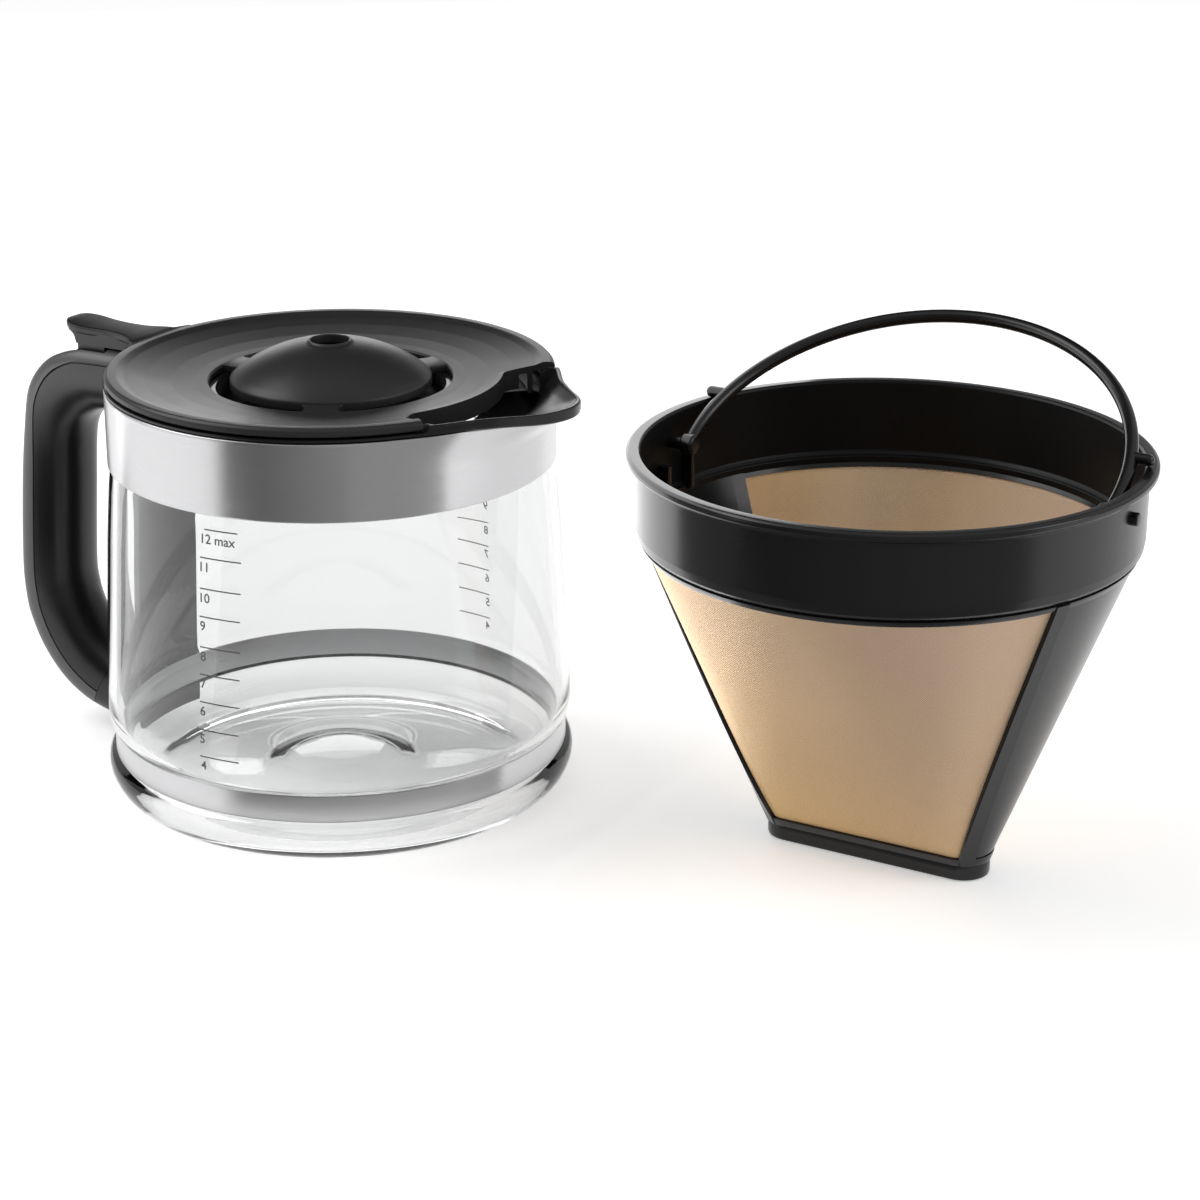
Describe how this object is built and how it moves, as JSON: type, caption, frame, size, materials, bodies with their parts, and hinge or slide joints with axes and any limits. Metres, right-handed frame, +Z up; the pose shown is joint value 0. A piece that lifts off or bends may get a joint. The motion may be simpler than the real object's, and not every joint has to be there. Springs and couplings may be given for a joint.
{
  "type": "coffee carafe with permanent cone filter",
  "caption": "Glass coffee carafe with a hinged brew-through lid, thumb lever, loop handle and steel bands, beside a cone filter with mesh sides and a folding bail.",
  "frame": {"origin": "centre of the carafe's base, on the table", "axes": "+Z up, +X from the carafe's axis to its spout and -X to its handle, +Y to the left of the spout"},
  "size_m": [0.3846, 0.188, 0.1574],
  "materials": {
    "glass": "clear",
    "steel_band": "brushed round the axis",
    "steel_clip": "satin",
    "collar_black": "gloss",
    "gasket_grey": "matte",
    "plate_black": "satin",
    "handle_black": "satin",
    "spine_black": "satin",
    "screw_steel": "plated",
    "nut_brass": "machined",
    "pin_steel": "ground",
    "bush_white": "satin",
    "lid_black": "satin",
    "basin_black": "gloss",
    "rim_black": "satin",
    "frame_black": "gloss",
    "foot_black": "satin",
    "mesh_gold": "fine weave",
    "bail_black": "gloss"
  },
  "bodies": {
    "carafe": {"glass_jug": "glass", "upper_band": "steel_band", "lower_band": "steel_band", "lower_band_clip": "steel_clip", "band_bracket": "steel_clip", "spout_collar": "collar_black", "collar_gasket": "gasket_grey", "handle_plate": "plate_black", "handle_grip": "handle_black", "handle_spine": "spine_black", "plate_screws": "screw_steel", "plate_nuts": "nut_brass", "hinge_pin": "pin_steel", "hinge_bushes": "bush_white"},
    "lid": {"lid_cover": "lid_black", "lid_basin": "basin_black", "lid_screws": "screw_steel"},
    "filter": {"filter_rim": "rim_black", "filter_frame": "frame_black", "filter_foot": "foot_black", "mesh_front": "mesh_gold", "mesh_back": "mesh_gold"},
    "bail": {"bail_handle": "bail_black"}
  },
  "joints": [
    {"name": "lid_hinge", "type": "hinge", "parent": "carafe", "child": "lid", "pos_m": [-0.09, 0, 0.1275], "axis": [0, -1, 0], "range_deg": [0, 65]},
    {"name": "filter_lift", "type": "slide", "parent": "carafe", "child": "filter", "axis": [0, 0, 1], "range_m": [0, 0.16]},
    {"name": "bail_pivot", "type": "hinge", "parent": "filter", "child": "bail", "pos_m": [0.179, 0.033, 0.122], "axis": [1, 0, 0], "range_deg": [0, 128]}
  ]
}
